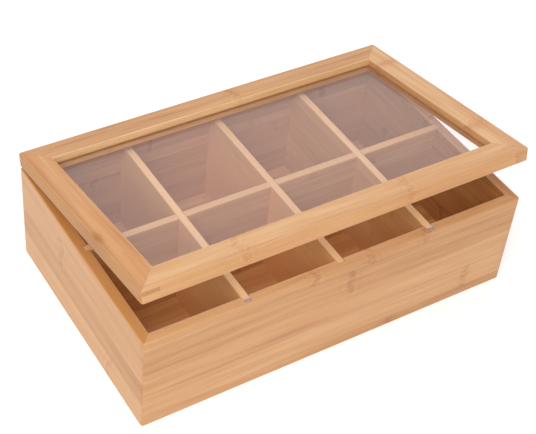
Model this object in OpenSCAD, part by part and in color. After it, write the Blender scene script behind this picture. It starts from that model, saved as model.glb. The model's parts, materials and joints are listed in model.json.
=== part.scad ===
// Eight-compartment tea box with a framed window lid.
// Origin: centre of the underside. +X runs to the right along the front, +Y to the back, +Z up.
// Every part is drawn where it stands with the lid part open.

/* [Box] */
// Outside length of the box, left to right
box_w = 330; // [300:1:380]
// Outside depth of the box, front to back
box_d = 203; // [180:1:240]
// Height of the four walls
box_h = 89; // [70:0.5:110]
// Thickness of the walls
wall_t = 8.5; // [8:0.5:10]
// Thickness of the base panel
base_t = 4; // [3:0.5:6]
// How far the base panel runs under the walls, in their rabbets
base_lap = 4; // [3:0.5:5]
// Radius of the rounded upright corners
corner_r = 2.2; // [1.6:0.1:4]
// Radius of the eased outside edges
edge_r = 1.2; // [0.6:0.1:1.6]
// Radius of the eased inside edges of the rim, the dividers and the lid
inner_r = 0.8; // [0.4:0.1:1.2]

/* [Dividers] */
// Thickness of the dividers
divider_t = 6; // [5:0.5:8]
// Distance between neighbouring cross dividers
cross_pitch = 80.5; // [70:0.5:84]
// Depth of the housings that hold the dividers' ends
housing_d = 3.5; // [2:0.5:4]
// How far the dividers stay below the rim
divider_drop = 0.3; // [0.2:0.1:1.5]

/* [Lid] */
// Thickness of the lid's frame
lid_t = 11.5; // [11:0.5:14]
// Width of the front and back rails
rail_w = 21; // [18:0.5:26]
// Width of the left and right stiles
stile_w = 19.5; // [17:0.5:26]
// Gap between the rim and the closed lid
lid_gap = 1; // [0.8:0.1:1.5]
// Angle at which the lid stands open, in degrees
lid_open = 9.85; // [0:0.05:95]

/* [Window] */
// Thickness of the pane
pane_t = 2; // [1.5:0.5:3]
// How far the pane's top lies below the top of the frame
pane_drop = 5.5; // [4:0.5:6]
// Depth of the groove that holds the pane
groove_d = 5; // [4:0.5:7]
// Room between the pane's edge and the bottom of the groove
pane_play = 0.5; // [0.2:0.1:1]
// Room above the pane, which lies on the lower side of the groove
pane_gap = 0.6; // [0.2:0.1:1]

/* [Corner keys] */
// Length of a key along each outside edge
key_leg = 14; // [10:0.5:16]
// Thickness of a key
key_t = 3; // [2:0.5:3]
// Height of a key above the underside of the lid
key_z = 7; // [6.5:0.5:7]

/* [Hinges] */
// Distance of each hinge from the middle of the box
hinge_x = 108; // [100:1:120]
// Width of a hinge
hinge_w = 34; // [30:1:40]
// Height of a leaf, measured from the hinge axis
leaf_h = 9.5; // [8.5:0.5:9.5]
// Thickness of a leaf
leaf_t = 1; // [0.8:0.1:1.2]
// Outside radius of the barrel
barrel_r = 2; // [1.8:0.1:2.2]
// Radius of the pin
pin_r = 1; // [0.8:0.1:1.2]
// Opening angle at which the stop lip meets the box leaf, in degrees
stop_angle = 100; // [95:1:115]

/* [Bumpers] */
// Radius of a bumper
bumper_r = 3; // [2:0.1:3.2]

/* [Hidden] */
$fn = 48;
past = 1;

// Sides and corners are counted anticlockwise from the front, seen from above.
front = 0;
right = 1;
back = 2;
left = 3;

housing_reach = wall_t - housing_d;
divider_h = box_h - divider_drop - base_t;
lap_z = base_t + divider_h / 2;
cross_places = [-cross_pitch, 0, cross_pitch];

lid_z = box_h + lid_gap;
pane_z = lid_t - pane_drop - pane_t;

// The pin stands just clear of the back faces, level with the middle of the lid's gap.
barrel_air = 0.3;
axis_out = barrel_r + barrel_air;
axis_y = box_d / 2 + axis_out;
axis_z = box_h + lid_gap / 2;
pin_play = 0.05;
pin_head_r = pin_r + 0.4;
pin_head_h = 0.4;
knuckle_gap = 0.3;
knuckle_w = hinge_w / 3;
leaf_corner_r = 1.5;
lip_reach = barrel_r + 3;
lip_play = 0.05;

screw_x = hinge_w / 3;
screw_drop = (leaf_h + barrel_r) / 2;
screw_head_r = 2.1;
screw_shank_r = 1.1;
screw_shank_h = 5;
screw_tip_h = 2;
slot_w = 0.5;
slot_h = 0.7;

bumper_edge_h = 0.3;
bumper_play = 0.05;
bumper_h = lid_gap - bumper_play;
bumper_y = -box_d / 2 + edge_r + bumper_r;

bamboo = "#DDB07C";
bamboo_pale = "#E3BC8C";
bamboo_dark = "#B98552";
brass = "#C9A24E";

// Rectangle with a radius of its own at each corner, anticlockwise from the origin
module eased_rectangle(size, radii) {
    corners = [[0, 0], [size.x, 0], size, [0, size.y]];
    difference() {
        square(size);
        for (i = [0:3])
            if (radii[i] > 0)
                translate(corners[i])
                    rotate(90 * i)
                        difference() {
                            translate([-past, -past]) square(radii[i] + past);
                            translate([radii[i], radii[i]]) circle(radii[i]);
                        }
    }
}

function across(side) = side % 2 == 0 ? box_w : box_d;
function along(side) = side % 2 == 0 ? box_d : box_w;

// Moves children from the front, where their corner is the origin, to one side of the box
module at_side(side) {
    rotate(90 * side)
        translate([-across(side) / 2, -along(side) / 2, 0])
            children();
}

// Board with a profile of depth by height, cut at both ends on the line from the outside corner
// to the inside corner, which lies run along and depth in
module mitred_board(length, depth, run, height) {
    slope = run / depth;
    intersection() {
        rotate([90, 0, 90]) linear_extrude(length) children();
        translate([0, 0, -past])
            linear_extrude(height + 2 * past)
                polygon([
                    [-past * slope, -past],
                    [length + past * slope, -past],
                    [length - run - past * slope, depth + past],
                    [run + past * slope, depth + past]
                ]);
    }
}

// Block with the box's outline: four rounded corners, and eased edges that follow them round
module eased_block(height) {
    straight_w = box_w - 2 * corner_r;
    straight_d = box_d - 2 * corner_r;
    rotate([90, 0, 90])
        linear_extrude(straight_w, center = true)
            translate([-box_d / 2, 0])
                eased_rectangle([box_d, height], [edge_r, edge_r, edge_r, edge_r]);
    for (turn = [0, 180])
        rotate(turn)
            translate([straight_w / 2, 0, 0])
                rotate([90, 0, 0])
                    linear_extrude(straight_d, center = true) outer_strip(height);
    for (turn = [0:3]) {
        quadrant = [[1, 1], [-1, 1], [-1, -1], [1, -1]][turn];
        translate([quadrant.x * straight_w / 2, quadrant.y * straight_d / 2, 0])
            rotate(90 * turn)
                rotate_extrude(angle = 90) outer_strip(height);
    }
}

// Section through the block's outside, from a corner's axis outwards
module outer_strip(height) {
    eased_rectangle([corner_r, height], [0, edge_r, edge_r, 0]);
}

module wall_profile() {
    difference() {
        eased_rectangle([wall_t, box_h], [0, 0, inner_r, 0]);
        translate([wall_t - base_lap, -past]) square([base_lap + past, base_t + past]);
    }
}

// Space of the dividers, from one housing to the other
module divider_housings() {
    translate([0, 0, base_t]) {
        for (x = cross_places)
            translate([x - divider_t / 2, housing_reach - box_d / 2, 0])
                cube([divider_t, box_d - 2 * housing_reach, box_h]);
        translate([housing_reach - box_w / 2, -divider_t / 2, 0])
            cube([box_w - 2 * housing_reach, divider_t, box_h]);
    }
}

module box_wall(side) {
    difference() {
        intersection() {
            at_side(side) mitred_board(across(side), wall_t, wall_t, box_h) wall_profile();
            eased_block(box_h);
        }
        divider_housings();
        if (side == back)
            for (hand = [-1, 1]) at_hinge(hand) leaf_screws();
    }
}

module base_panel() {
    inset = wall_t - base_lap;
    color(bamboo_pale)
        translate([inset - box_w / 2, inset - box_d / 2, 0])
            cube([box_w - 2 * inset, box_d - 2 * inset, base_t]);
}

module divider_profile() {
    translate([-divider_t / 2, base_t])
        eased_rectangle([divider_t, divider_h], [0, 0, inner_r, inner_r]);
}

// The cross dividers sit over the long one: its slots are open at the top, theirs at the bottom.
module long_divider() {
    color(bamboo_pale)
        difference() {
            rotate([90, 0, 90])
                linear_extrude(box_w - 2 * housing_reach, center = true) divider_profile();
            for (x = cross_places)
                translate([x - divider_t / 2, -divider_t, lap_z])
                    cube([divider_t, 2 * divider_t, divider_h]);
        }
}

module cross_divider(x) {
    color(bamboo_pale)
        translate([x, 0, 0])
            difference() {
                rotate([90, 0, 0])
                    linear_extrude(box_d - 2 * housing_reach, center = true) divider_profile();
                translate([-divider_t, -divider_t / 2, base_t - past])
                    cube([2 * divider_t, divider_t, divider_h / 2 + past]);
            }
}

// Turns the closed lid about the hinge axis to where it stands open
module opened() {
    translate([0, axis_y, axis_z])
        rotate([-lid_open, 0, 0])
            translate([0, -axis_y, -axis_z])
                children();
}

module lid_profile(depth) {
    difference() {
        eased_rectangle([depth, lid_t], [0, inner_r, inner_r, 0]);
        translate([depth - groove_d, pane_z]) square([groove_d + past, pane_t + pane_gap]);
    }
}

// Key at the corner where a side begins
module key_blank(side) {
    at_side(side)
        translate([0, 0, key_z])
            linear_extrude(key_t)
                polygon([[-past, -past], [key_leg + past, -past], [-past, key_leg + past]]);
}

module lid_board(side) {
    depth = side % 2 == 0 ? rail_w : stile_w;
    run = side % 2 == 0 ? stile_w : rail_w;
    opened()
        difference() {
            translate([0, 0, lid_z])
                difference() {
                    intersection() {
                        at_side(side) mitred_board(across(side), depth, run, lid_t) lid_profile(depth);
                        eased_block(lid_t);
                    }
                    key_blank(side);
                    key_blank((side + 1) % 4);
                }
            if (side == back)
                for (hand = [-1, 1]) at_hinge(hand) mirror([0, 0, 1]) leaf_screws();
        }
}

module corner_key(side) {
    color(bamboo_dark)
        opened()
            translate([0, 0, lid_z])
                intersection() {
                    key_blank(side);
                    eased_block(lid_t);
                }
}

module window_pane() {
    pane_w = box_w - 2 * (stile_w - groove_d + pane_play);
    pane_d = box_d - 2 * (rail_w - groove_d + pane_play);
    color("#DCE6EA", 0.35)
        opened()
            translate([-pane_w / 2, -pane_d / 2, lid_z + pane_z])
                cube([pane_w, pane_d, pane_t]);
}

// Hinge parts are drawn round the hinge axis, with the leaf hanging down against the back face.
module at_hinge(hand) {
    translate([hand * hinge_x, axis_y, axis_z]) children();
}

module on_leaf(x) {
    translate([x, leaf_t - axis_out, -screw_drop]) rotate([90, 0, 0]) children();
}

// Countersunk wood screws, whose heads fill the holes of a leaf
module leaf_screws() {
    for (x = [-screw_x, screw_x])
        on_leaf(x) {
            cylinder(h = leaf_t, r1 = screw_head_r, r2 = screw_shank_r);
            translate([0, 0, leaf_t]) cylinder(h = screw_shank_h, r = screw_shank_r);
            translate([0, 0, leaf_t + screw_shank_h])
                cylinder(h = screw_tip_h, r1 = screw_shank_r, r2 = screw_shank_r / 4);
        }
}

module slotted_screws() {
    difference() {
        leaf_screws();
        for (x = [-screw_x, screw_x], turn = [0, 90])
            on_leaf(x)
                rotate(turn + 45)
                    translate([-screw_head_r * 0.65, -slot_w / 2, -past])
                        cube([screw_head_r * 1.3, slot_w, slot_h + past]);
    }
}

// Outline of a leaf: a plate below the notch, and a strap up to each knuckle
module leaf_outline(knuckles, notch) {
    translate([-hinge_w / 2, -leaf_h])
        eased_rectangle([hinge_w, leaf_h - notch], [leaf_corner_r, leaf_corner_r, 0, 0]);
    for (k = knuckles)
        translate([k[0], -notch - past])
            square([k[1] - k[0], notch + past - 2 * barrel_air]);
}

// Sheet leaf with its knuckles, each given by where it starts and ends along the pin
module leaf(knuckles, bore_r) {
    notch = barrel_r + barrel_air;
    difference() {
        union() {
            translate([0, leaf_t - axis_out, 0])
                rotate([90, 0, 0])
                    linear_extrude(leaf_t) leaf_outline(knuckles, notch);
            for (k = knuckles)
                translate([k[0], 0, 0]) rotate([0, 90, 0]) cylinder(h = k[1] - k[0], r = barrel_r);
        }
        translate([-hinge_w, 0, 0]) rotate([0, 90, 0]) cylinder(h = 2 * hinge_w, r = bore_r);
        leaf_screws();
    }
}

module box_leaf(hand) {
    end = hinge_w / 2;
    start = (knuckle_w + knuckle_gap) / 2;
    color(brass) at_hinge(hand) leaf([[-end, -start], [start, end]], pin_r);
}

// Lip on the lid leaf's knuckle. It turns down against the box leaf when the lid is fully open.
module stop_lip(lip_w) {
    difference() {
        rotate([stop_angle, 0, 0])
            translate([-lip_w / 2, leaf_t - axis_out + lip_play, -lip_reach])
                cube([lip_w, leaf_t, lip_reach]);
        rotate([0, 90, 0]) cylinder(h = hinge_w, r = barrel_r - leaf_t / 2, center = true);
    }
}

// The lid leaf has one knuckle, between the two of the box leaf.
module lid_leaf(hand) {
    width = knuckle_w - knuckle_gap;
    color(brass)
        opened()
            at_hinge(hand) {
                mirror([0, 0, 1]) leaf([[-width / 2, width / 2]], pin_r + pin_play);
                stop_lip(width);
            }
}

module hinge_pin(hand) {
    color("#B8B4AC")
        at_hinge(hand)
            rotate([0, 90, 0]) {
                cylinder(h = hinge_w, r = pin_r, center = true);
                for (end = [-1, 1])
                    translate([0, 0, end * (hinge_w + pin_head_h) / 2])
                        cylinder(h = pin_head_h, r = pin_head_r, center = true);
            }
}

// Clear dome that the closed lid rests over
module bumper(hand) {
    rise = bumper_h - bumper_edge_h;
    dome_r = (bumper_r * bumper_r + rise * rise) / (2 * rise);
    color("#D9CFC4", 0.7)
        translate([hand * cross_pitch, bumper_y, box_h])
            rotate_extrude()
                intersection() {
                    translate([0, bumper_h - dome_r]) circle(dome_r, $fn = 200);
                    square([bumper_r, bumper_h]);
                }
}

// Screws of both hinges on the box
module box_leaf_screws() {
    color(brass)
        for (hand = [-1, 1]) at_hinge(hand) slotted_screws();
}

// Screws of both hinges on the lid
module lid_leaf_screws() {
    color(brass)
        opened()
            for (hand = [-1, 1]) at_hinge(hand) mirror([0, 0, 1]) slotted_screws();
}

module front_wall() { color(bamboo) box_wall(front); }
module back_wall() { color(bamboo) box_wall(back); }
module left_wall() { color(bamboo_pale) box_wall(left); }
module right_wall() { color(bamboo_pale) box_wall(right); }
module cross_divider_left() { cross_divider(cross_places[0]); }
module cross_divider_middle() { cross_divider(cross_places[1]); }
module cross_divider_right() { cross_divider(cross_places[2]); }
module lid_front_rail() { color(bamboo) lid_board(front); }
module lid_back_rail() { color(bamboo) lid_board(back); }
module lid_left_stile() { color(bamboo) lid_board(left); }
module lid_right_stile() { color(bamboo) lid_board(right); }
module key_front_left() { corner_key(front); }
module key_front_right() { corner_key(right); }
module key_back_right() { corner_key(back); }
module key_back_left() { corner_key(left); }
module left_hinge_box_leaf() { box_leaf(-1); }
module left_hinge_lid_leaf() { lid_leaf(-1); }
module left_hinge_pin() { hinge_pin(-1); }
module right_hinge_box_leaf() { box_leaf(1); }
module right_hinge_lid_leaf() { lid_leaf(1); }
module right_hinge_pin() { hinge_pin(1); }
module bumper_left() { bumper(-1); }
module bumper_right() { bumper(1); }

front_wall();
back_wall();
left_wall();
right_wall();
base_panel();
long_divider();
cross_divider_left();
cross_divider_middle();
cross_divider_right();
lid_front_rail();
lid_back_rail();
lid_left_stile();
lid_right_stile();
key_front_left();
key_front_right();
key_back_right();
key_back_left();
window_pane();
left_hinge_box_leaf();
left_hinge_lid_leaf();
left_hinge_pin();
right_hinge_box_leaf();
right_hinge_lid_leaf();
right_hinge_pin();
box_leaf_screws();
lid_leaf_screws();
bumper_left();
bumper_right();
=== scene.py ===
import json
import math
import random

import bpy
from mathutils import Matrix, Vector


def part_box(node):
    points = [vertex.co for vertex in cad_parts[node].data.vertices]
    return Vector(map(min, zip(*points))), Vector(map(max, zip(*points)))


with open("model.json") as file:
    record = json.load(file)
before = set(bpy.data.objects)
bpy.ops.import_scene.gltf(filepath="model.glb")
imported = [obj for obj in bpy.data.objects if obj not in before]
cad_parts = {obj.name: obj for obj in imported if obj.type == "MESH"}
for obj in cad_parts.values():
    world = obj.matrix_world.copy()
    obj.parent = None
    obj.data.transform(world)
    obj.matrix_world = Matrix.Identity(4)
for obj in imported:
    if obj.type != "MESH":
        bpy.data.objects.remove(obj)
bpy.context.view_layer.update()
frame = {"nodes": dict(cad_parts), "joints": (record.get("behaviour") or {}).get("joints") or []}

# Axes of the box: along its front, from front to back, and up
X, Y, Z = 0, 1, 2
MM = 0.001

# The lid's hinge. Turned back by the angle at which the lid stands open, its boards lie square.
lid_hinge = frame["joints"][0]
LID_OPEN = -math.radians(lid_hinge["range_deg"][0])
LID_AXIS = Vector(lid_hinge["pos_m"])
CLOSING = (
    Matrix.Translation(LID_AXIS)
    @ Matrix.Rotation(LID_OPEN, 4, "X")
    @ Matrix.Translation(-LID_AXIS)
)

# The photograph's viewpoint. The heading is to the right of +Y, the pitch is below the horizon,
# and the roll tilts the right side up.
CAMERA_PLACE = (-0.44491, -0.61689, 0.76009)
CAMERA_HEADING = math.radians(35.751)
CAMERA_PITCH = math.radians(42.934)
CAMERA_ROLL = math.radians(6.277)
CAMERA_LENS = 88.243
CAMERA_SENSOR = 36

# Bamboo under a thin satin varnish, from the darkest streaks to the palest
BAMBOO = [
    (0.00, (0.400, 0.155, 0.042)),
    (0.25, (0.520, 0.235, 0.076)),
    (0.50, (0.606, 0.300, 0.116)),
    (0.75, (0.662, 0.352, 0.148)),
    (1.00, (0.725, 0.425, 0.205)),
]
VARNISH = {"Coat_Weight": 0.1, "Coat_Roughness": 0.3}

# Tone 0 is the middle of those colours, which span four tones.
MIDDLING = 0.5
TONES = 4.0

BAMBOO_PALE = (0.725, 0.425, 0.205)
# Paler colours painted as light on faces and edges that lie in shade
BLOND_PAINTED_LIGHT = (0.830, 0.535, 0.275)
HONEY_PAINTED_LIGHT = (0.900, 0.500, 0.200)
BAMBOO_ORANGE = (0.640, 0.270, 0.078)
BAMBOO_PINK = (0.640, 0.310, 0.165)
BAMBOO_RED = (0.500, 0.185, 0.070)
BAMBOO_RUSSET = (0.500, 0.205, 0.028)
KNOT_BROWN = (0.340, 0.105, 0.012)
GLUE_BROWN = (0.330, 0.135, 0.045)

# Patterns in bamboo: how fine each is along and across the strips, and how detailed
PATTERNS = {
    "arc": (0.02, 0.07, 0.0),
    "fray": (0.12, 0.3, 2.0),
    "wander": (0.011, 0.05, 1.0),
    "swirl": (0.13, 0.22, 2.0),
    "broad": (0.006, 0.1, 2.0),
    "middle": (0.012, 0.3, 3.0),
    "streak": (0.02, 0.85, 3.0),
    "fibre": (0.035, 3.1, 2.0),
    "vessel": (0.17, 4.3, 0.0),
    "mottle": (0.28, 0.55, 2.0),
}

# How far along the patterns one strip's piece of them lies from the next, and one board's
STRIP_APART = 4700.0
BOARD_APART = 731.0

# A strip's number travels in a colour, as a share of more strips than any board has.
STRIP_NUMBERS = 16
SAME_STRIP = 0.48 / STRIP_NUMBERS

# Farther than anything on a board, in millimetres
FAR = 999.0

# How wide strips come, how far apart their knuckles are, and the length that shows two of these
STRIP_WIDTH = 24.0
KNUCKLE_SPACING = 170
LONG_BOARD = 250

# Width of the small round on metal parts and keys
EASING = 0.1 * MM


class Signal:
    """One output among a material's nodes. Arithmetic on it adds Math nodes."""

    def __init__(self, finish, socket):
        self.finish = finish
        self.socket = socket

    def __add__(self, other):
        return self.finish.math("ADD", self, other)

    def __sub__(self, other):
        return self.finish.math("SUBTRACT", self, other)

    def __rsub__(self, other):
        return self.finish.math("SUBTRACT", other, self)

    def __mul__(self, other):
        return self.finish.math("MULTIPLY", self, other)

    def __truediv__(self, number):
        return self * (1 / number)

    def __neg__(self):
        return self * -1.0

    def __abs__(self):
        return self.finish.math("ABSOLUTE", self)

    __radd__ = __add__
    __rmul__ = __mul__


class Finish:
    """A material while it is made. Sockets that are the same all over are given by name."""

    def __init__(self, name, **constants):
        self.material = bpy.data.materials.new(name)
        self.material.use_nodes = True
        self.tree = self.material.node_tree
        self.surface = self.tree.nodes["Principled BSDF"]
        for socket, value in constants.items():
            self.surface.inputs[socket.replace("_", " ")].default_value = value

    def node(self, kind, settings=None, inputs=None, output=0):
        """Adds a node: its settings first, then the values or links of its sockets."""
        made = self.tree.nodes.new("ShaderNode" + kind)
        for name, value in (settings or {}).items():
            if name == "stops":
                self.set_stops(made.color_ramp, value)
            elif name == "between_stops":
                made.color_ramp.interpolation = value
            else:
                setattr(made, name, value)
        for name, value in (inputs or {}).items():
            if isinstance(value, Signal):
                self.tree.links.new(value.socket, made.inputs[name])
            else:
                made.inputs[name].default_value = value
        return Signal(self, made.outputs[output])

    def set_stops(self, ramp, stops):
        while len(ramp.elements) < len(stops):
            ramp.elements.new(1.0)
        for element, (position, colour) in zip(ramp.elements, stops):
            element.position = position
            element.color = (*colour, 1.0)

    def feed(self, socket, signal):
        self.tree.links.new(signal.socket, self.surface.inputs[socket])

    def math(self, operation, *values):
        return self.node("Math", {"operation": operation}, dict(enumerate(values)))

    def nearest(self, first, second):
        return self.math("MINIMUM", first, second)

    def inset(self, place, low, high):
        """Distance inwards from the nearer of two limits."""
        return self.nearest(place - low, high - place)

    def smooth(self, value, start, end, low=0.0, high=1.0):
        """Low up to start, high from end on, and an even curve in between."""
        sockets = {
            "Value": value, "From Min": start, "From Max": end, "To Min": low, "To Max": high
        }
        return self.node("MapRange", {"interpolation_type": "SMOOTHSTEP"}, sockets)

    def fade(self, distance, start, end, strength=1.0):
        """Full strength up to start, and none from end on."""
        return self.smooth(distance, start, end, strength, 0.0)

    def blend(self, share, first, second):
        """Colour first, with a share of second mixed in."""
        paint = [c if isinstance(c, Signal) else (*c, 1.0) for c in (first, second)]
        return self.node("Mix", {"data_type": "RGBA"}, {0: share, 6: paint[0], 7: paint[1]}, 2)

    def ramp(self, share, stops, between_stops="LINEAR"):
        return self.node("ValToRGB", {"stops": stops, "between_stops": between_stops}, {0: share})

    def place(self, turn=None):
        """Where a point lies in millimetres, as three signals: at rest, or after a turn."""
        spot = self.node("TexCoord", output="Object")
        if turn is not None:
            lie = {"Vector": spot, "Location": turn.to_translation(), "Rotation": turn.to_euler()}
            spot = self.node("Mapping", {"vector_type": "POINT"}, lie)
        spot = self.node("VectorMath", {"operation": "SCALE"}, {0: spot, "Scale": 1 / MM})
        return [self.node("SeparateXYZ", inputs={0: spot}, output=axis) for axis in "XYZ"]

    def noise(self, spot, detail=2.0):
        """Noise at a spot of three signals or numbers, spread from about -1 to 1."""
        vector = self.node("CombineXYZ", inputs=dict(enumerate(spot)))
        sockets = {"Vector": vector, "Scale": 1.0, "Detail": detail, "Roughness": 0.5}
        return (self.node("TexNoise", inputs=sockets) - 0.5) * 3.0

    def bump(self, height, depth, strength):
        sockets = {"Height": height, "Distance": depth, "Strength": strength}
        return self.node("Bump", inputs=sockets)


def on_ramp(tone):
    """Where a tone lies among the colours of bamboo."""
    return tone / TONES + MIDDLING


def corners(node, turn=None):
    """Lowest and highest corner of a node in millimetres: at rest, or after a turn."""
    if turn is None:
        low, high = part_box(node)
    else:
        spots = [turn @ v.co for v in frame["nodes"][node].data.vertices]
        low, high = (
            Vector([pick(spot[axis] for spot in spots) for axis in (X, Y, Z)])
            for pick in (min, max)
        )
    return low / MM, high / MM


def span(node, axis, turn=None):
    """Size of a node along an axis, in millimetres."""
    low, high = corners(node, turn)
    return high[axis] - low[axis]


def dress(node, finish):
    """Gives a node of the model its finish."""
    for patch in frame["nodes"][node].material_slots:
        patch.material = finish.material


def laid_up(width, length, seed):
    """Strips of a board as they come, each as a Board takes it."""
    chance = random.Random(seed)
    strips = []
    edge = 0.0
    while edge < width:
        edge = min(width, edge + STRIP_WIDTH * chance.uniform(0.4, 1.1 if strips else 1.0))
        tone = chance.uniform(-0.9, 0.9)
        spot = chance.uniform(-0.48, 0.48) * length
        knuckles = [spot]
        if length > LONG_BOARD:
            knuckles.append(spot + math.copysign(KNUCKLE_SPACING, -spot))
        strips.append((edge, tone, tone + chance.uniform(-0.4, 0.4), knuckles))
    return strips


class Board:
    """A board glued up from strips, while its finish is made.

    run and across are its axes along and across the strips. u, v and w say where a point lies
    along them, across them from the board's low side, and through the board. Each strip is its
    upper edge in millimetres from the low side, a tone for its low and its high end (0 is
    middling, 1 pale), and the places of its knuckles along the run.
    """

    def __init__(self, node, run, across, strips, closing, seed):
        self.finish = Finish(node + "_bamboo", **VARNISH)
        self.run, self.across, self.through = run, across, X + Y + Z - run - across
        self.low, self.high = corners(node, closing)
        self.width = self.high[across] - self.low[across]
        self.place = self.finish.place(closing)
        self.u = self.place[run]
        self.v = self.place[across] - self.low[across]
        self.w = self.place[self.through]
        self.strips = strips

        low_tone, high_tone, self.number = self.strip_facts()
        drift = self.finish.smooth(self.u, self.low[run], self.high[run])
        self.tone = ((high_tone - low_tone) * drift + low_tone - MIDDLING) * TONES
        self.along = self.number * STRIP_APART + self.u + seed * BOARD_APART

    def strip_facts(self):
        """Tones of the two ends of the strip under a point, and the strip's number."""
        stops = []
        edge = 0.0
        for number, (upper, low_tone, high_tone, knuckles) in enumerate(self.strips):
            facts = (on_ramp(low_tone), on_ramp(high_tone), number / STRIP_NUMBERS)
            stops.append((edge / self.width, facts))
            edge = upper
        strip = self.finish.ramp(self.v / self.width, stops, "CONSTANT")
        return [
            self.finish.node("SeparateColor", inputs={0: strip}, output=part)
            for part in ("Red", "Green", "Blue")
        ]

    def pattern(self, name, across):
        """Noise drawn out along the strips. Each strip shows its own piece of it."""
        lengthwise, crosswise, detail = PATTERNS[name]
        spot = (self.along * lengthwise, across * crosswise, self.w * crosswise)
        return self.finish.noise(spot, detail)

    def inset(self, axis):
        """Distance inwards from the nearer of the board's two limits along an axis."""
        return self.finish.inset(self.place[axis], self.low[axis], self.high[axis])

    def to_knuckle(self, frayed):
        """Distance to the nearest knuckle of the strip under a point."""
        away = frayed * 0.0 + FAR
        for number, (upper, low_tone, high_tone, knuckles) in enumerate(self.strips):
            if knuckles:
                share = number / STRIP_NUMBERS
                elsewhere = (1 - self.finish.math("COMPARE", self.number, share, SAME_STRIP)) * FAR
                for spot in knuckles:
                    away = self.finish.nearest(abs(frayed - spot) + elsewhere, away)
        return away

    def to_glue_line(self, wavy):
        """Distance to the nearest line between two strips."""
        gap = wavy * 0.0 + FAR
        for upper, low_tone, high_tone, knuckles in self.strips[:-1]:
            gap = self.finish.nearest(abs(wavy - upper), gap)
        return gap

    def to_mitre(self, inward, slope):
        """Distance to the slanting cut at either end. inward is the axis across the cut's rise."""
        return abs(self.inset(self.run) - self.inset(inward) * slope)


def bamboo_board(
    node, run, across, strips, closing=None, seed=0, tint=0.0, warmth=0.0, figure=1.0, marks=(),
    mitre=None
):
    """Finish of a board glued up from bamboo strips, which are given as a Board takes them.

    A mark is its place along and across, half its length and height, a colour and a strength.
    figure is how strongly the grain shows. mitre is the axis from the outside face inwards, and
    the slope of the cut.
    """
    board = Board(node, run, across, strips, closing, seed)
    finish, u, v, w = board.finish, board.u, board.v, board.w

    # A knuckle crosses its strip in a frayed arc: a ridge, a pale collar and a blotchy halo.
    arc = board.pattern("arc", v)
    fray = board.pattern("fray", v)
    away = board.to_knuckle(u + arc * 4.0 + fray * 0.9)
    halo = finish.fade(away, 2.0, 11.0)
    ridge = finish.fade(away, 0.3, 2.8)
    collar = finish.fade(abs(away - 5.0), 0.3, 3.0)

    # Fibres wander a little, and swirl at the knuckles.
    wander = board.pattern("wander", v) * 1.7
    swirl = board.pattern("swirl", v) * halo
    fibres = v + wander + swirl * 3.0
    broad, middle, streak, fibre, vessel, mottle = (
        board.pattern(name, fibres)
        for name in ("broad", "middle", "streak", "fibre", "vessel", "mottle")
    )

    # Glue lines between strips come and go along the board.
    presence = finish.noise((u * 0.012 + seed, v * 0.05, w * 0.05), 1.0) * 0.9 + 0.55
    glue = finish.fade(board.to_glue_line(v + wander * 0.15), 0.1, 0.8) * presence

    grain = broad * 0.8 + middle * 0.85 + streak * 0.6 + fibre * 0.42
    shade = board.tone + tint + grain * figure - halo * (mottle * 1.2 + 0.55)
    shade = shade - ridge * (fray * 1.3 + 0.25) + collar * halo * 0.6
    colour = finish.ramp(on_ramp(shade), BAMBOO)
    hue = finish.noise((board.along * 0.012, fibres * 0.14, w * 0.14 + 5.0), 3.0) + warmth
    colour = finish.blend(finish.smooth(hue, 0.0, 1.3, 0.0, 0.5), colour, BAMBOO_ORANGE)
    colour = finish.blend(finish.smooth(hue, 0.0, -1.3, 0.0, 0.45), colour, BAMBOO_PINK)
    colour = finish.blend(finish.smooth(vessel, 0.6, 1.2, 0.0, 0.2), colour, GLUE_BROWN)
    colour = finish.blend(halo * finish.smooth(mottle, 0.1, 0.9, 0.0, 0.3), colour, BAMBOO_RED)
    colour = finish.blend(glue * 0.3, colour, GLUE_BROWN)

    # Marks are soft patches that the grain breaks up.
    for spot, height, half_length, half_height, paint, strength in marks:
        across_mark = (v - height) / half_height + wander * 0.15
        along_mark = (u + mottle * (half_length * 0.3) - spot) / half_length
        patch = finish.math("EXPONENT", -(across_mark * across_mark + along_mark * along_mark))
        colour = finish.blend(patch * (streak * 0.5 + 1.0) * strength, colour, paint)

    if mitre is not None:
        seam = finish.fade(board.to_mitre(*mitre), 0.1, 0.6, 0.25)
        colour = finish.blend(seam, colour, GLUE_BROWN)

    # Sanding and handling leave the eased edges a little smoother, and they are painted paler:
    # partly wear, partly a painted highlight.
    from_edge = finish.math("MAXIMUM", board.inset(across), board.inset(board.through))
    worn_and_highlit = finish.fade(from_edge, 0.3, 1.6)
    colour = finish.blend(worn_and_highlit * 0.2, colour, BAMBOO_PALE)

    finish.feed("Base Color", colour)
    finish.feed("Roughness", 0.47 + fibre * 0.06 + glue * 0.06 - worn_and_highlit * 0.08)
    height = fibre * 0.5 + streak * 0.4 - finish.smooth(vessel, 0.5, 1.2) - glue + ridge * 1.2
    finish.feed("Normal", finish.bump(height, 0.03 * MM, 0.6))
    dress(node, finish)


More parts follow.
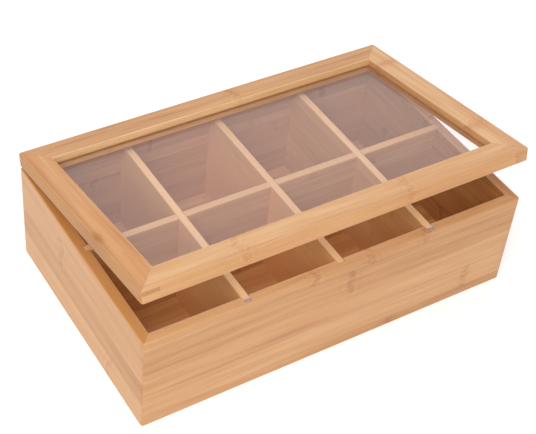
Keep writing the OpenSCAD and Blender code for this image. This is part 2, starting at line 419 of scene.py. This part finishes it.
def corner_slip(node, seed, tone):
    """Finish of a key in the lid's corner, whose grain runs slantwise through the edge."""
    finish = Finish(node + "_bamboo", **VARNISH)
    x, y, z = finish.place(CLOSING)
    low, high = corners(node, CLOSING)
    middle = (low + high) / 2
    lean = math.copysign(1.0, middle.x * middle.y)
    along = (x - y * lean) * 0.7 + seed * 37.0
    across = (x + y * lean) * 0.7
    streak = finish.noise((along * 0.05, across * 0.7, z * 0.9 + seed), 3.0)
    pores = finish.noise((along * 0.5, across * 1.8, z * 2.6 + seed), 1.0)
    colour = finish.ramp(streak * 0.12 + on_ramp(tone), BAMBOO)
    colour = finish.blend(finish.smooth(pores, 0.1, 1.0, 0.0, 0.15), colour, GLUE_BROWN)

    # Glue shows above and below the slip, and at its back.
    to_back = abs(across - (middle.x + middle.y * lean) * 0.7)
    glue = finish.fade(finish.nearest(finish.inset(z, low.z, high.z), to_back), 0.1, 0.8, 0.35)
    colour = finish.blend(glue, colour, GLUE_BROWN)

    finish.feed("Base Color", colour)
    finish.feed("Roughness", 0.5 + pores * 0.06)
    finish.feed("Normal", finish.bump(streak - pores * 0.5, 0.03 * MM, 0.5))
    dress(node, finish)


def see_through(finish, film, tint, gloss_roughness):
    """Lets light straight through a finish: film is the share of the finish's own colour."""
    through = finish.node("BsdfTransparent", inputs={"Color": tint})
    shine = {"Color": (1.0, 0.97, 0.98, 1.0), "Roughness": gloss_roughness}
    gloss = finish.node("BsdfGlossy", inputs=shine)
    own = Signal(finish, finish.surface.outputs["BSDF"])
    body = finish.node("MixShader", inputs={0: film, 1: through, 2: own})
    slant = finish.node("LayerWeight", inputs={"Blend": 0.5}, output="Facing")
    mirror = finish.math("POWER", slant, 5.0) * 0.96 + 0.04
    whole = finish.node("MixShader", inputs={0: mirror, 1: body, 2: gloss})
    output = finish.tree.nodes["Material Output"]
    finish.tree.links.new(whole.socket, output.inputs["Surface"])


def clear_sheet(node):
    """Finish of the window's acrylic: see-through, with a faint bloom and a clean gloss.

    Its margin is painted an opaque orange-brown, as painted light that softens the shade in the
    groove.
    It lies in the groove, and shows as a thin brown line along the frame.
    """
    finish = Finish("clear_acrylic", Roughness=0.4, IOR=1.49)
    x, y, z = finish.place(CLOSING)
    low, high = corners(node, CLOSING)
    to_side = finish.inset(x, low.x, high.x)
    to_end = finish.inset(y, low.y, high.y)
    # The margin's opaque orange-brown is painted light over the groove's shade
    painted_light_margin = finish.fade(finish.nearest(to_side, to_end), 4.6, 5.3)
    cloud = finish.noise((x * 0.012, y * 0.02, z * 0.1))
    finish.feed("Base Color", finish.blend(painted_light_margin, (0.86, 0.80, 0.88), (0.95, 0.48, 0.14)))
    see_through(finish, cloud * 0.005 + 0.015 + painted_light_margin * 0.9, (0.99, 0.98, 0.98, 1.0), 0.02)
    dress(node, finish)


def hinge_metal(name, colour, dark, roughness, nodes):
    """Finish of small rolled metal parts: fine brushing and a little tarnish."""
    finish = Finish(name, Metallic=1.0)
    x, y, z = finish.place()
    brushing = finish.noise((x * 0.25, y * 9.0, z * 9.0))
    tarnish = finish.noise((x * 0.35, y * 0.35, z * 0.35), 3.0)
    dulled = finish.smooth(tarnish, -0.3, 1.3, 0.0, 0.6)
    finish.feed("Base Color", finish.blend(dulled, colour, dark))
    finish.feed("Roughness", roughness + brushing * 0.05 + tarnish * 0.05)
    finish.feed("Normal", finish.bump(brushing, 0.008 * MM, 0.5))
    for node in nodes:
        dress(node, finish)


def soft_dome(nodes):
    """Finish of the clear silicone bumpers: milky at heart, dusty on top."""
    finish = Finish("clear_silicone", Base_Color=(0.92, 0.78, 0.66, 1.0), IOR=1.41)
    x, y, z = finish.place()
    dust = finish.noise((x * 1.3, y * 1.3, z * 1.3), 3.0)
    finish.feed("Roughness", 0.25 + dust * 0.08)
    finish.feed("Normal", finish.bump(dust, 0.02 * MM, 0.3))
    see_through(finish, dust * 0.06 + 0.3, (0.97, 0.95, 0.93, 1.0), 0.12)
    for node in nodes:
        dress(node, finish)


def ease_edges(node):
    """Breaks the sharp edges of a node with a small round, which catches the light."""
    piece = frame["nodes"][node]
    merge = piece.modifiers.new("merge", "WELD")
    merge.merge_threshold = 0.001 * MM
    flat = piece.modifiers.new("flat_faces", "DECIMATE")
    flat.decimate_type = "DISSOLVE"
    flat.angle_limit = math.radians(0.5)
    ease = piece.modifiers.new("eased_edges", "BEVEL")
    ease.width = EASING
    ease.segments = 2
    ease.limit_method = "ANGLE"
    ease.angle_limit = math.radians(35)
    piece.modifiers.new("shading", "WEIGHTED_NORMAL")


def studio_floor():
    """White table top, lit a little from below so that shadows stay faint."""
    bpy.ops.mesh.primitive_plane_add(size=12.0)
    floor = bpy.context.object
    floor.name = "studio_floor"
    finish = Finish(
        "white_table",
        Base_Color=(0.70, 0.70, 0.70, 1.0),
        Roughness=0.9,
        Specular_IOR_Level=0.1,
        Emission_Color=(1.0, 1.0, 1.0, 1.0),
        Emission_Strength=0.4,
    )
    floor.data.materials.append(finish.material)


def softbox(name, place, size, watts, aim=(0.0, 0.0, 0.05)):
    """Square lamp at a place, turned to the box."""
    lamp = bpy.data.lights.new(name, "AREA")
    lamp.shape = "SQUARE"
    lamp.size = size
    lamp.energy = watts
    holder = bpy.data.objects.new(name, lamp)
    bpy.context.scene.collection.objects.link(holder)
    holder.location = place
    holder.rotation_euler = (Vector(aim) - Vector(place)).to_track_quat("-Z", "Y").to_euler()
    holder.visible_camera = False


def studio_air(strength):
    """Even white light from all round."""
    world = bpy.data.worlds.new("studio_air")
    world.use_nodes = True
    air = world.node_tree.nodes["Background"].inputs
    air["Color"].default_value = (1.0, 1.0, 1.0, 1.0)
    air["Strength"].default_value = strength
    bpy.context.scene.world = world


def camera():
    """Camera at the photograph's viewpoint."""
    lens = bpy.data.cameras.new("camera")
    lens.lens = CAMERA_LENS
    lens.sensor_width = CAMERA_SENSOR
    lens.sensor_fit = "HORIZONTAL"
    lens.clip_start = 0.01
    holder = bpy.data.objects.new("camera", lens)
    bpy.context.scene.collection.objects.link(holder)
    holder.matrix_world = (
        Matrix.Translation(CAMERA_PLACE)
        @ Matrix.Rotation(-CAMERA_HEADING, 4, "Z")
        @ Matrix.Rotation(math.pi / 2 - CAMERA_PITCH, 4, "X")
        @ Matrix.Rotation(CAMERA_ROLL, 4, "Z")
    )
    bpy.context.scene.camera = holder


# The strips and marks of the boards that face the viewer
FRONT_WALL = [
    (9.5, 0.5, -0.7, [54]),
    (32.0, 0.95, 0.7, [125]),
    (56.5, 0.35, 0.75, []),
    (80.0, -0.15, -0.5, [9]),
    (89.0, 0.3, -0.3, [-26, 25, 74]),
]
FRONT_WALL_MARKS = [
    # Pale patch on the rim: painted light, lifting the rim where the lid shades it
    (-70, 89, 120, 0.9, BAMBOO_PALE, 0.3),
    (120, 89, 40, 1.2, GLUE_BROWN, 0.1),
    (-42, 38, 38, 2.4, BAMBOO_RED, 0.75),
    (-40, 38, 24, 1.3, GLUE_BROWN, 0.2),
    (-110, 33, 50, 1.2, GLUE_BROWN, 0.28),
    (163, 34, 3.5, 22, BAMBOO_RED, 0.25),
    (40, 35, 60, 3.0, BAMBOO_RED, 0.2),
    (8, 68, 2.5, 11, GLUE_BROWN, 0.16),
    (17, 69, 2.0, 9, GLUE_BROWN, 0.1),
    (126, 20, 3.0, 11, GLUE_BROWN, 0.18),
    (74, 85, 7, 4, BAMBOO_RED, 0.3),
    (25, 86, 5, 3, BAMBOO_RED, 0.25),
    (54, 4, 8, 5, BAMBOO_RED, 0.45),
]
LEFT_WALL = [
    (25.0, 0.9, 0.8, [-52]),
    (46.5, -0.8, -0.6, []),
    (74.0, 0.0, 0.4, [30]),
    (89.0, 0.3, 0.5, []),
]
LEFT_WALL_MARKS = [
    (0, 88, 300, 2.2, BAMBOO_ORANGE, 0.45),
    (0, 89, 400, 0.9, BAMBOO_RUSSET, 0.55),
    (-98, 77, 1.0, 13, GLUE_BROWN, 0.2),
    (29, 62, 6, 5, GLUE_BROWN, 0.12),
    (-60, 42, 50, 2.0, GLUE_BROWN, 0.12),
    (60, 43, 45, 1.5, GLUE_BROWN, 0.1),
]
# The right wall's strips are dark all over: painted shade, standing in for shade inside the box
RIGHT_WALL = [
    (23.0, -1.3, 0.1, [-31]),
    (48.0, -1.5, -0.1, [58]),
    (69.5, -1.1, 0.0, [-77]),
    (89.0, -1.4, 0.1, [12]),
]
FRONT_RAIL = [(3.2, 0.6, 0.6, [-85, 55]), (21.0, 0.9, 0.9, [-85, 55])]
FRONT_RAIL_MARKS = [
    (151, 0, 0.8, 0.9, BAMBOO_PALE, 0.5),
    (155, 0, 2.5, 0.9, GLUE_BROWN, 0.3),
    (0, 0, 300, 0.7, BAMBOO_ORANGE, 0.3),
]
BACK_RAIL = [(17.0, -0.2, 0.2, [17]), (21.0, 0.0, 0.1, [17])]
BACK_RAIL_MARKS = [
    # Blond along the inner edge: painted light, for the light from below that this face misses
    (0, 0, 400, 1.0, BLOND_PAINTED_LIGHT, 0.9),
    (95, 0, 55, 1.0, BAMBOO_ORANGE, 0.3),
    (-92, 17.8, 12, 0.9, GLUE_BROWN, 0.5),
    (17, 19, 9, 4, BAMBOO_RED, 0.2),
]
LEFT_STILE = [(19.5, -0.2, 0.1, [])]
LEFT_STILE_MARKS = [
    (30, 2.7, 130, 1.5, BAMBOO_RED, 0.35),
    (30, 2.7, 130, 0.8, GLUE_BROWN, 0.4),
    (-31, 2.7, 8, 2.6, BAMBOO_RUSSET, 0.9),
    (-32, 2.6, 6, 2.2, KNOT_BROWN, 0.9),
    (-30, 4.6, 2.5, 1.6, BAMBOO_RUSSET, 0.8),
    (-42, 1.8, 12, 1.5, GLUE_BROWN, 0.25),
    (92, 5.5, 5, 3.5, BAMBOO_ORANGE, 0.5),
    (0, 0, 400, 0.5, BAMBOO_RUSSET, 1.2),
    (-28, 0, 24, 0.5, KNOT_BROWN, 0.45),
]
RIGHT_STILE = [(16.5, 0.9, 0.9, [-50]), (19.5, 0.4, 0.4, [-50])]
RIGHT_STILE_MARKS = [
    (67, 9, 4, 12, BAMBOO_RED, 0.65),
    (66, 12, 9, 9, BAMBOO_ORANGE, 0.4),
    (-54, 9, 4, 12, BAMBOO_RED, 0.4),
    (-54, 9, 8, 12, BAMBOO_ORANGE, 0.35),
]

# Each cross divider: its side, its tint, how much honey it is painted with, and the colour of its
# upper edge with its strength. Tint, honey and paler upper edge are painted light, for light
# inside the box.
CROSS_DIVIDERS = [
    ("left", 1.2, 0.65, BLOND_PAINTED_LIGHT, 0.6),
    ("middle", 1.0, 0.75, BAMBOO_PALE, 0.6),
    ("right", 1.0, 0.25, BLOND_PAINTED_LIGHT, 0.4),
]

# Tones of the slips in the lid's corners
KEYS = [("front_left", -0.85), ("front_right", -0.2), ("back_right", -1.0), ("back_left", -0.8)]

# The boards of the box
bamboo_board(
    "front_wall", X, Z, FRONT_WALL, seed=1, figure=1.1, marks=FRONT_WALL_MARKS, mitre=(Y, 1.0)
)
bamboo_board("back_wall", X, Z, laid_up(89, 330, 12), seed=2, mitre=(Y, 1.0))
bamboo_board(
    "left_wall", Y, Z, LEFT_WALL, seed=3, tint=0.1, figure=1.15, marks=LEFT_WALL_MARKS,
    mitre=(X, 1.0)
)
bamboo_board("right_wall", Y, Z, RIGHT_WALL, seed=4, mitre=(X, 1.0))
bamboo_board("base_panel", X, Y, laid_up(194, 321, 15), seed=5)

# The dividers, paler all over and along their upper edges: painted light, standing in for light
# that falls into the box
divider_height = span("long_divider", Z)
bamboo_board(
    "long_divider", X, Z, laid_up(85, 320, 16), seed=6, tint=0.6,
    marks=[(0, divider_height, 400, 2.5, BLOND_PAINTED_LIGHT, 0.3)]
)
for count, (side, tint, painted_light_share, painted_light_edge_colour, strength) in enumerate(CROSS_DIVIDERS):
    # Honey all over and a paler upper edge: painted light
    marks = [
        (0, divider_height / 2, FAR, FAR, HONEY_PAINTED_LIGHT, painted_light_share),
        (0, divider_height, 400, 2.5, painted_light_edge_colour, strength),
    ]
    bamboo_board(
        "cross_divider_" + side, Y, Z, laid_up(85, 193, 17 + count), seed=7 + count, tint=tint,
        marks=marks
    )

# The lid's frame, whose mitres run from corner to corner of unequal boards
mitre_slope = span("lid_left_stile", X, CLOSING) / span("lid_front_rail", Y, CLOSING)
bamboo_board(
    "lid_front_rail", X, Y, FRONT_RAIL, CLOSING, 11, figure=1.4,
    marks=FRONT_RAIL_MARKS, mitre=(Y, mitre_slope)
)
bamboo_board(
    "lid_back_rail", X, Y, BACK_RAIL, CLOSING, 12, tint=-0.55, figure=1.3,
    marks=BACK_RAIL_MARKS, mitre=(Y, mitre_slope)
)
bamboo_board(
    "lid_left_stile", Y, X, LEFT_STILE, CLOSING, 22, warmth=1.0, figure=1.6,
    marks=LEFT_STILE_MARKS, mitre=(X, 1 / mitre_slope)
)
bamboo_board(
    "lid_right_stile", Y, X, RIGHT_STILE, CLOSING, 14, tint=0.15, figure=1.6,
    marks=RIGHT_STILE_MARKS, mitre=(X, 1 / mitre_slope)
)
for count, (corner, tone) in enumerate(KEYS):
    corner_slip("key_" + corner, count, tone)
    ease_edges("key_" + corner)

# The window, the bumpers and the metal parts
clear_sheet("window_pane")
soft_dome(["bumper_left", "bumper_right"])
sides = ("left", "right")
hinge_leaves = [f"{side}_hinge_{part}_leaf" for side in sides for part in ("box", "lid")]
hinge_pins = [f"{side}_hinge_pin" for side in sides]
screws = ["box_leaf_screws", "lid_leaf_screws"]
hinge_metal("hinge_brass", (0.78, 0.56, 0.26), (0.42, 0.27, 0.12), 0.30, hinge_leaves)
hinge_metal("screw_brass", (0.74, 0.52, 0.24), (0.36, 0.23, 0.10), 0.34, screws)
hinge_metal("pin_steel", (0.62, 0.61, 0.59), (0.40, 0.38, 0.36), 0.28, hinge_pins)
for node in hinge_leaves + hinge_pins + screws:
    ease_edges(node)

camera()
studio_floor()
studio_air(0.38)
softbox("front_softbox", (-1.09, -1.09, 1.84), 1.8, 41)
softbox("top_softbox", (0.0, 0.1, 2.3), 1.6, 8)
softbox("backdrop", (0.95, 1.75, 1.0), 2.4, 16)
bpy.context.scene.view_settings.view_transform = "Standard"
